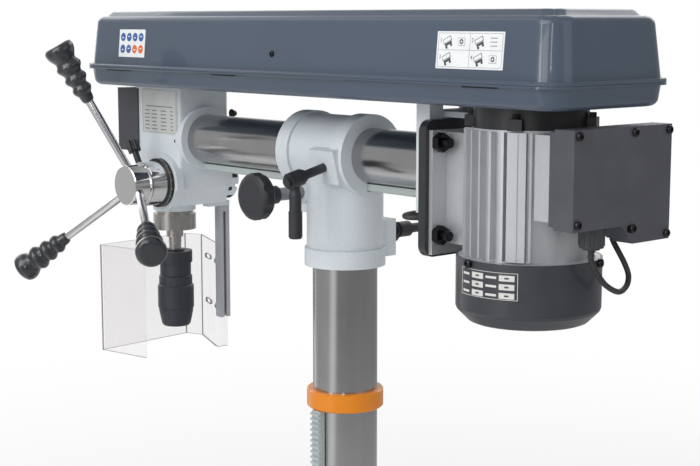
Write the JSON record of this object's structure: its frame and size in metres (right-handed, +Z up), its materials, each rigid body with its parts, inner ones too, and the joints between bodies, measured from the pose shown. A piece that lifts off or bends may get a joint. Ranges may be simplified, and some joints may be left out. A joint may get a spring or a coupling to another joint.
{
  "type": "radial arm drill",
  "caption": "Bench radial drilling machine with a sliding, swinging arm, tilting head, quill feed, belt drive under one long cover, motor and lifting table.",
  "frame": {"origin": "column axis at the underside of the base", "axes": "+Z up, -X along the arm to the drilling head, +X to the motor, -Y the side of the feed handles"},
  "size_m": [0.8335, 0.3138, 0.8765],
  "materials": {
    "hammered_paint": "light grey hammered",
    "cast_iron": "machined",
    "ground_steel": "ground",
    "chrome": "polished",
    "black_plastic": "matte",
    "black_gloss": "gloss",
    "black_paint": "semi-gloss",
    "slate_paint": "semi-gloss",
    "orange_paint": "gloss",
    "cast_aluminium": "satin",
    "charcoal_plastic": "matte",
    "black_steel": "blackened",
    "belt_rubber": "matte",
    "clear_plastic": "clear",
    "green_plastic": "gloss",
    "red_plastic": "gloss"
  },
  "bodies": {
    "stand": {"base_plate": "hammered_paint", "column_flange": "hammered_paint", "column": "ground_steel", "rack_collar": "orange_paint", "column_fasteners": "black_steel"},
    "rack_ring": {"column_rack": "cast_iron"},
    "table_bracket": {"table_bracket": "hammered_paint", "tilt_bolt": "black_steel"},
    "lift_crank": {"lift_crank": "black_paint"},
    "crank_knob": {"crank_knob": "black_plastic"},
    "table_lock": {"table_lock": "black_plastic"},
    "table": {"table": "cast_iron"},
    "saddle": {"saddle": "hammered_paint"},
    "travel_knob": {"travel_pinion": "black_steel", "star_knob": "black_plastic"},
    "arm_lock": {"arm_lock": "black_plastic"},
    "saddle_lock": {"saddle_lock": "black_plastic"},
    "carriage": {"arm_rack": "cast_iron"},
    "head": {"arm_tube": "ground_steel", "head_casting": "hammered_paint", "motor_bracket": "hammered_paint", "motor_plate": "black_paint", "belt_tray": "slate_paint", "motor_housing": "cast_aluminium", "motor_top_cover": "black_paint", "fan_cover": "charcoal_plastic", "terminal_box": "charcoal_plastic", "terminal_lid": "charcoal_plastic", "head_fasteners": "black_steel", "cable_gland": "black_plastic", "motor_cable": "belt_rubber", "cable_grommet": "belt_rubber", "spring_cap": "hammered_paint", "return_spring": "ground_steel", "switch_box": "charcoal_plastic", "head_bearings": "ground_steel", "v_belt": "belt_rubber"},
    "rotor": {"rotor": "ground_steel", "motor_pulley": "cast_aluminium", "cooling_fan": "black_plastic"},
    "pulley": {"spindle_pulley": "cast_aluminium"},
    "quill": {"quill": "ground_steel", "quill_collar": "ground_steel", "quill_bearings": "ground_steel"},
    "spindle": {"spindle": "ground_steel", "chuck_body": "black_steel", "chuck_sleeve": "black_steel", "chuck_jaws": "ground_steel"},
    "feed": {"feed_shaft": "ground_steel", "feed_hub": "chrome", "feed_rods": "chrome", "feed_grips": "black_gloss"},
    "depth_stop": {"depth_drum": "chrome", "depth_scale": "black_steel", "thumb_screw": "black_plastic"},
    "lid": {"belt_lid": "slate_paint"},
    "guard_bar": {"guard_bar": "cast_aluminium"},
    "guard": {"chuck_guard": "clear_plastic"},
    "start_button": {"start_button": "green_plastic"},
    "stop_button": {"stop_button": "red_plastic"}
  },
  "joints": [
    {"name": "table_swing", "type": "hinge", "parent": "stand", "child": "rack_ring", "pos_m": [0, 0, 0.2], "axis": [0, 0, 1], "continuous": true},
    {"name": "table_lift", "type": "slide", "parent": "rack_ring", "child": "table_bracket", "axis": [0, 0, 1], "range_m": [0, 0.155]},
    {"name": "lift_crank_turn", "type": "hinge", "parent": "table_bracket", "child": "lift_crank", "pos_m": [0.064, -0.0548, 0.158], "axis": [1, 0, 0], "range_deg": [-890, 2]},
    {"name": "crank_knob_spin", "type": "hinge", "parent": "lift_crank", "child": "crank_knob", "pos_m": [0.0693, -0.1348, 0.158], "axis": [1, 0, 0], "continuous": true},
    {"name": "table_lock_turn", "type": "hinge", "parent": "table_bracket", "child": "table_lock", "pos_m": [0, 0.092, 0.158], "axis": [0, 1, 0], "range_deg": [-60, 60]},
    {"name": "table_tilt", "type": "hinge", "parent": "table_bracket", "child": "table", "pos_m": [-0.271, 0, 0.165], "axis": [1, 0, 0], "range_deg": [-45, 45]},
    {"name": "saddle_swing", "type": "hinge", "parent": "stand", "child": "saddle", "pos_m": [0, 0, 0.62], "axis": [0, 0, 1], "continuous": true},
    {"name": "travel_knob_turn", "type": "hinge", "parent": "saddle", "child": "travel_knob", "pos_m": [-0.032, -0.09, 0.67594], "axis": [0, 1, 0], "range_deg": [-800, 1600]},
    {"name": "arm_lock_turn", "type": "hinge", "parent": "saddle", "child": "arm_lock", "pos_m": [0.0195, -0.06792, 0.70307], "axis": [0, -0.9703, -0.2419], "range_deg": [-20, 45]},
    {"name": "saddle_lock_turn", "type": "hinge", "parent": "saddle", "child": "saddle_lock", "pos_m": [0, 0.08, 0.626], "axis": [0, 1, 0], "range_deg": [-40, 60]},
    {"name": "arm_travel", "type": "slide", "parent": "saddle", "child": "carriage", "axis": [-1, 0, 0], "range_m": [-0.17, 0.08]},
    {"name": "head_tilt", "type": "hinge", "parent": "carriage", "child": "head", "pos_m": [0, 0, 0.72], "axis": [1, 0, 0], "range_deg": [-45, 45]},
    {"name": "rotor_spin", "type": "hinge", "parent": "head", "child": "rotor", "pos_m": [0.2745, 0, 0.72], "axis": [0, 0, 1], "continuous": true},
    {"name": "pulley_spin", "type": "hinge", "parent": "head", "child": "pulley", "pos_m": [-0.336, 0, 0.8], "axis": [0, 0, 1], "continuous": true},
    {"name": "quill_feed", "type": "slide", "parent": "head", "child": "quill", "axis": [0, 0, -1], "range_m": [0, 0.08], "stiffness_N_per_m": 150, "springref_m": -0.28},
    {"name": "spindle_spin", "type": "hinge", "parent": "quill", "child": "spindle", "pos_m": [-0.336, 0, 0.6], "axis": [0, 0, 1], "continuous": true},
    {"name": "feed_turn", "type": "hinge", "parent": "head", "child": "feed", "pos_m": [-0.3, -0.06, 0.665], "axis": [0, 1, 0], "range_deg": [-341, 1]},
    {"name": "depth_stop_turn", "type": "hinge", "parent": "feed", "child": "depth_stop", "pos_m": [-0.3, -0.06, 0.665], "axis": [0, 1, 0], "continuous": true},
    {"name": "lid_hinge", "type": "hinge", "parent": "head", "child": "lid", "pos_m": [0, 0.0934, 0.808], "axis": [-1, 0, 0], "range_deg": [0, 100]},
    {"name": "guard_swing", "type": "hinge", "parent": "head", "child": "guard_bar", "pos_m": [-0.294, 0.045, 0.62], "axis": [0, 0, -1], "range_deg": [0, 90]},
    {"name": "guard_height", "type": "slide", "parent": "guard_bar", "child": "guard", "axis": [0, 0, 1], "range_m": [-0.03, 0.02]},
    {"name": "start_press", "type": "slide", "parent": "head", "child": "start_button", "axis": [1, 0, 0], "range_m": [0, 0.003], "stiffness_N_per_m": 600, "springref_m": -0.002},
    {"name": "stop_press", "type": "slide", "parent": "head", "child": "stop_button", "axis": [1, 0, 0], "range_m": [0, 0.003], "stiffness_N_per_m": 600, "springref_m": -0.002}
  ],
  "couplings": [
    {"joint": "lift_crank_turn", "follows": "table_lift", "rad_per_m": -100},
    {"joint": "travel_knob_turn", "follows": "arm_travel", "rad_per_m": -160},
    {"joint": "feed_turn", "follows": "quill_feed", "rad_per_m": -74.074},
    {"joint": "pulley_spin", "follows": "rotor_spin", "ratio": 1},
    {"joint": "spindle_spin", "follows": "rotor_spin", "ratio": 1}
  ]
}
